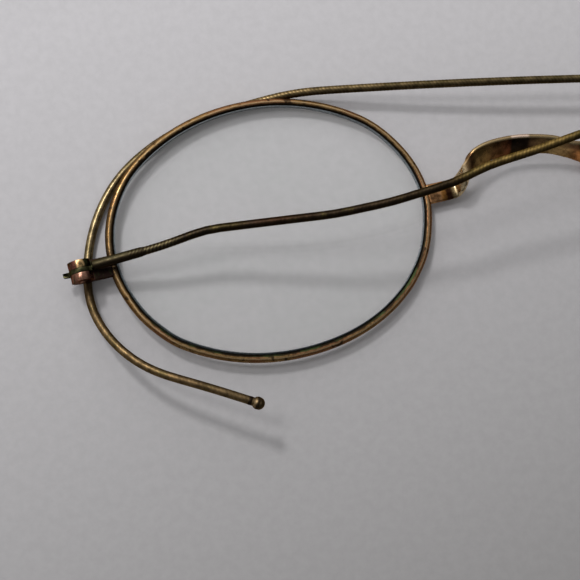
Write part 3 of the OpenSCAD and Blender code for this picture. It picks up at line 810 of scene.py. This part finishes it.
# Saddle stations from left to right: place as shares of the crank's distance, of the crest's rise and
# of its distance back, then the share of the crest's lean, the slant and the share of the full width
SADDLE_LINE = [
    ((-0.985, 0.2, 0.86), 0.08, -0.06, 0.76),
    ((-0.95, 0.38, 1.12), 0.36, -0.08, 0.76),
    ((-0.875, 0.62, 1.24), 0.6, -0.09, 0.82),
    ((-0.765, 0.8, 1.25), 0.74, -0.08, 0.9),
    ((-0.6, 0.94, 1.18), 0.84, -0.05, 0.97),
    ((-0.372, 1.02, 1.07), 0.93, -0.03, 1),
    ((-0.057, 1, 1), 1, 0, 1),
    ((0.28, 0.82, 0.95), 1.03, 0.02, 1),
    ((0.504, 0.64, 0.91), 1.07, 0.03, 1),
    ((0.76, 0.3, 0.79), 1.18, 0.05, 1),
    ((0.952, 0.09, 0.63), 0.86, 0.1, 1),
]

# Stations of the two feet: place, width direction and share of the full width
FOOT_INSET = 0.25
LEFT_FOOT = [
    ((-BRIDGE_HALF + FOOT_INSET, -FOOT_DROP, 0), leaned(0, 0), FOOT_SHARE),
    ((-CRANK - FOOT_LEN, -FOOT_DROP, 0.02), leaned(0, 0), FOOT_SHARE),
    ((-CRANK - 0.65, -0.2, 0.1 * CREST_BACK), leaned(0, 0), FOOT_SHARE),
    ((-CRANK - 0.27, 0.05, 0.45 * CREST_BACK), leaned(-0.1, 0), 0.8),
]
RIGHT_FOOT = [
    ((CRANK + 0.65, -0.15, 0.2 * CREST_BACK), leaned(0.26, 0), 0.85),
    ((CRANK + FOOT_LEN, -FOOT_DROP, 0.02), leaned(0, 0), FOOT_SHARE),
    ((BRIDGE_HALF - FOOT_INSET, -FOOT_DROP, 0), leaned(0, 0), FOOT_SHARE),
]
STEPS_PER_STATION = 10


def ribbon_stations():
    """Place, running direction, width direction and share of the full width, by cubics between stations."""
    saddle = [
        ((x * CRANK, y * CREST_RISE, z * CREST_BACK), leaned(lean, slant), share)
        for (x, y, z), lean, slant, share in SADDLE_LINE
    ]
    marks = [(Vector(p), width.normalized(), share) for p, width, share in LEFT_FOOT + saddle + RIGHT_FOOT]
    ahead = marks[1:] + marks[-1:]
    behind = marks[:1] + marks[:-1]
    runs = [(after[0] - before[0]).normalized() for after, before in zip(ahead, behind)]
    stations = []
    for (p0, w0, h0), (p1, w1, h1), r0, r1 in zip(marks, marks[1:], runs, runs[1:]):
        d = (p1 - p0).length
        m0, m1 = r0 * d, r1 * d
        for k in range(STEPS_PER_STATION):
            t = k / STEPS_PER_STATION
            p = (2 * t**3 - 3 * t**2 + 1) * p0 + (t**3 - 2 * t**2 + t) * m0
            p = p + (3 * t**2 - 2 * t**3) * p1 + (t**3 - t**2) * m1
            run = (6 * t**2 - 6 * t) * p0 + (3 * t**2 - 4 * t + 1) * m0
            run = run + (6 * t - 6 * t**2) * p1 + (3 * t**2 - 2 * t) * m1
            stations.append((p, run.normalized(), (1 - t) * w0 + t * w1, (1 - t) * h0 + t * h1))
    p, width, share = marks[-1]
    stations.append((p, runs[-1], width, share))
    return stations


def bridge():
    """The whole ribbon, with rounded long edges."""
    corner = RIBBON_T / 2
    edge = [
        (side, corner * math.cos(a) - corner, side * corner * math.sin(a))
        for side in (-1, 1) for a in np.radians(np.linspace(-80, 80, 11))
    ]
    stations = ribbon_stations()
    points, uv = [], []
    for p, run, width, share in stations:
        face = run.cross(width).normalized()
        across = width.normalized()
        for side, x, z in edge:
            x = side * (share * RIBBON_W / 2 + x)
            points.append(p + x * across + z * face)
            uv.append((p.x, x / RIBBON_W + 0.5))
    faces = capped(len(stations), len(edge))
    return add_mesh("bridge_ribbon", "bridge", points, faces, LAID, bridge_gold, "frame", uv)


bridge()


# Hinge pieces keep their CAD shape and get soft edges
WELD = 0.0005
FLAT_ANGLE = math.radians(1)
SHARP_ANGLE = math.radians(32)


def softened(node, name, material, body, width):
    """A copy of a CAD node with its flat faces joined up and its sharp edges rounded."""
    mesh = frame["nodes"][node].data.copy()
    mesh.name = name
    work = bmesh.new()
    work.from_mesh(mesh)
    bmesh.ops.remove_doubles(work, verts=work.verts, dist=WELD * MM)
    bmesh.ops.dissolve_limit(work, angle_limit=FLAT_ANGLE, verts=work.verts, edges=work.edges)
    work.to_mesh(mesh)
    work.free()
    mesh.materials.clear()
    mesh.materials.append(material)
    obj = add_piece(name, node, mesh, body)
    bevel = obj.modifiers.new("soft_edges", "BEVEL")
    bevel.width = width * MM
    bevel.segments = 3
    bevel.limit_method = "ANGLE"
    bevel.angle_limit = SHARP_ANGLE
    bevel.harden_normals = True
    return obj


for word in ("left", "right"):
    softened(f"{word}_upper_lug", f"{word}_upper_hinge_lug", upper_copper, "frame", 0.09)
    softened(f"{word}_lower_lug", f"{word}_lower_hinge_lug", lower_copper, "frame", 0.09)
    softened(f"{word}_screw", f"{word}_hinge_screw", lower_copper, "frame", 0.04)
    softened(f"{word}_joint", f"{word}_temple_joint", joint_skin, f"{word}_temple", 0.06)


# Temples
def add_temple_piece(word, name, node, rings, faces, material):
    """A piece of the left or right temple; rings holds its points and their places along and round it."""
    points, uv = rings
    place = TEMPLES[word].place
    return add_mesh(
        f"{word}_{name}", f"{word}_{node}", points, faces, place, material, f"{word}_temple", uv
    )


def ferrule(word):
    """Sleeve with a rounded mouth, smooth at first, and pressed and tapered on to the cable at its end."""
    temple = TEMPLES[word]
    r, bore, end = FERRULE_R, FERRULE_BORE_R, FERRULE_END
    profile = [
        (NECK_GAP, bore, 0), (NECK_GAP, r - 0.12, 0), (NECK_GAP + 0.04, r - 0.04, 0),
        (NECK_GAP + 0.14, r, 0), (1.0, r, 0), (2.4, r, 0), (PRESSED_FROM, r, 0),
    ]
    step, deepens_over, taper = 0.06, 0.5, 0.8
    for at in np.arange(PRESSED_FROM + step, end, step):
        depth = PRESSED_DEPTH * min(1, (at - PRESSED_FROM) / deepens_over)
        profile.append((at, r - (r - CABLE_R) * max(0, (at - end + taper) / taper) ** 2, depth))
    profile += [(end, CABLE_R, PRESSED_DEPTH), (end, bore, 0)]
    sides = 48
    _, t, n, b = temple.frame_at(0.0)
    rings = revolve(profile, (temple.raw(0.0), t, n, b), sides)
    faces = grid_faces(len(profile), sides, closed_rings=True)
    return add_temple_piece(word, "smooth_ferrule", "ferrule", rings, faces, sleeve_skin)


def cable(word, material, relief):
    """Wound cable as a ridged sleeve; relief holds (distance from the neck, depth of the winding)."""
    sides = 24
    step = WIND_PITCH / 6
    stations = np.linspace(FERRULE_END, CABLE_END, int((CABLE_END - FERRULE_END) / step))
    at, depths = zip(*relief)

    def radius(s, angle):
        return CABLE_R - np.interp(s, at, depths) * (1 - winding(s, angle))

    rings = sweep(TEMPLES[word], stations, radius, sides)
    return add_temple_piece(word, "wound_cable", "wrap", rings, capped(len(stations), sides), material)


def core(word):
    """Spring wire inside the cable."""
    sides = 12
    stations = np.linspace(CORE_FROM, CABLE_END, 200)
    rings = sweep(TEMPLES[word], stations, lambda s, angle: CORE_R, sides)
    return add_temple_piece(word, "spring_core", "core", rings, capped(len(stations), sides), steel)


def tip(word):
    """Ball on the cable's end, with a short neck behind it and a turned line round it."""
    middle = 0.45
    line_depth, line_at, line_width = 0.04, 84, 7
    back, front = -0.75, middle + BALL_R
    profile = [(back, CABLE_R * 0.98, 0), (-0.6, 0.515, 0), (-0.35, 0.515, 0), (-0.25, 0.46, 0)]
    for a in np.linspace(math.radians(148), 0, 40)[:-1]:
        r = BALL_R - line_depth * math.exp(-((math.degrees(a) - line_at) / line_width) ** 2)
        profile.append((middle + r * math.cos(a), r * math.sin(a), 0))
    sides = 32
    centre, t, n, b = TEMPLES[word].frame_at(CABLE_END)
    points, uv = revolve(profile, (centre, t, n, b), sides)
    uv = [((at - back) / (front - back), turn) for at, turn in uv]
    points.append(centre + front * t)
    uv.append((1.0, 0.0))
    faces = grid_faces(len(profile), sides)
    faces.append(tuple(range(sides - 1, -1, -1)))
    last = (len(profile) - 1) * sides
    for k in range(sides):
        faces.append((last + k, last + (k + 1) % sides, len(points) - 1))
    return add_temple_piece(word, "ball_tip", "tip", (points, uv), faces, tip_gold)


left_relief = ((6, 0.06), (10.5, 0.06), (12, 0.02), (60, 0.02), (80, 0.04), (143, 0.05))
right_relief = ((6, 0.06), (90, 0.04), (104, 0.01), (116, 0.01), (120, 0.015), (143, 0.015))
for word, material, relief in (("left", left_wound, left_relief), ("right", right_wound, right_relief)):
    ferrule(word)
    cable(word, material, relief)
    core(word)
    tip(word)


# Camera: place, turns in degrees and lens, fitted to the left rim in the photograph
CAMERA_AT = Vector((-71.477, left_pin.y - 32.273, 171.468))
CAMERA_TURNS = (11.2368, -10.2806, -15.7701)
camera_data = bpy.data.cameras.new("camera")
camera_data.lens = 92.6
camera_data.sensor_width = 36
camera_data.clip_start = 0.01
camera = bpy.data.objects.new("camera", camera_data)
camera.location = CAMERA_AT * MM
camera.rotation_euler = [math.radians(turn) for turn in CAMERA_TURNS]
bpy.context.scene.collection.objects.link(camera)
bpy.context.scene.camera = camera


# Table: the photograph's pale top, with painted lamp falloff that makes it darker away from the lamps
TABLE_SIZE_M = 3.0
TABLE_PAINTED_LIT = (0.555, 0.54, 0.557)
TABLE_PAINTED_DIM = (0.257, 0.25, 0.25)
BRIGHTER_PER_MM_X = -0.0016
BRIGHTER_PER_MM_Y = 0.0117


def table_material():
    """Matt tabletop with a fine grain and a painted falloff of the lamps' light across it."""
    m = Nodes("pale_table")
    grain = m.noise(900, 3, 0.6)
    x, y, _ = m.position()
    # Painted lamp falloff: lighter towards +y, darker towards +x.
    painted_falloff = m.math("ADD", m.math("MULTIPLY", x, BRIGHTER_PER_MM_X), m.math("MULTIPLY", y, BRIGHTER_PER_MM_Y))
    shade = m.ramp(m.math("ADD", painted_falloff, 0.45, clamp=True), (0.0, TABLE_PAINTED_DIM), (1.0, TABLE_PAINTED_LIT))
    colour = m.mix(m.rise(grain, 0.35, 0.65), shade, m.times(shade, (1.06,) * 3))
    m.put(m.shader.inputs["Base Color"], colour)
    m.shader.inputs["Roughness"].default_value = 0.75
    m.bump(grain, 0.12, 0.05)
    return m.material


bpy.ops.mesh.primitive_plane_add(size=TABLE_SIZE_M)
table = bpy.context.object
table.name = "table"
table.data.materials.append(table_material())


# Light: sizes and distance in metres, power in watts
LAMP_DISTANCE = 1.6


def area_light(name, towards, size, power):
    """A soft lamp that shines on the origin from the direction towards."""
    data = bpy.data.lights.new(name, "AREA")
    data.shape = "DISK"
    data.size = size
    data.energy = power
    lamp = bpy.data.objects.new(name, data)
    way = Vector(towards).normalized()
    lamp.location = way * LAMP_DISTANCE
    lamp.rotation_euler = way.to_track_quat("Z", "Y").to_euler()
    bpy.context.scene.collection.objects.link(lamp)
    return lamp


area_light("key_light", (-0.38, 0.72, 1.0), size=0.22, power=8.4)
area_light("second_light", (-0.47, 0.32, 1.0), size=0.32, power=4.0)


def studio_world():
    """Soft light all round, brightest towards the lamps, with a darker patch straight above."""
    world = bpy.data.worlds.new("studio")
    world.use_nodes = True
    tree = world.node_tree

    def node(kind, **values):
        made = tree.nodes.new(kind)
        for key, value in values.items():
            setattr(made, key, value)
        return made

    way = node("ShaderNodeTexCoord")

    def towards(direction, stops):
        """Grey by the cosine of the angle to a direction, as (cosine, grey) stops."""
        dot = node("ShaderNodeVectorMath", operation="DOT_PRODUCT")
        tree.links.new(way.outputs["Generated"], dot.inputs[0])
        dot.inputs[1].default_value = Vector(direction).normalized()
        place = node("ShaderNodeMath", operation="MULTIPLY_ADD")
        tree.links.new(dot.outputs["Value"], place.inputs[0])
        place.inputs[1].default_value = 0.5
        place.inputs[2].default_value = 0.5
        ramp = node("ShaderNodeValToRGB")
        while len(ramp.color_ramp.elements) < len(stops):
            ramp.color_ramp.elements.new(0.5)
        for element, (at, grey) in zip(ramp.color_ramp.elements, stops):
            element.position = (at + 1) / 2
            element.color = (grey, grey, grey, 1)
        tree.links.new(place.outputs["Value"], ramp.inputs["Fac"])
        return ramp.outputs["Color"]

    brighter = [(-0.6, 0.04), (0.1, 0.107), (0.55, 0.28), (0.85, 0.63), (1.0, 1.0)]
    bright = towards((-0.3, 0.62, 0.72), brighter)
    above = towards((0.0, 0.02, 1.0), [(0.86, 1.0), (0.95, 0.5), (1.0, 0.42)])
    product = node("ShaderNodeMix", data_type="RGBA", blend_type="MULTIPLY")
    product.inputs["Factor"].default_value = 1.0
    tree.links.new(bright, product.inputs["A"])
    tree.links.new(above, product.inputs["B"])
    back = tree.nodes["Background"]
    tree.links.new(product.outputs["Result"], back.inputs["Color"])
    back.inputs["Strength"].default_value = 1.55
    return world


bpy.context.scene.world = studio_world()

bpy.context.scene.view_settings.view_transform = "Standard"

bpy.context.view_layer.update()
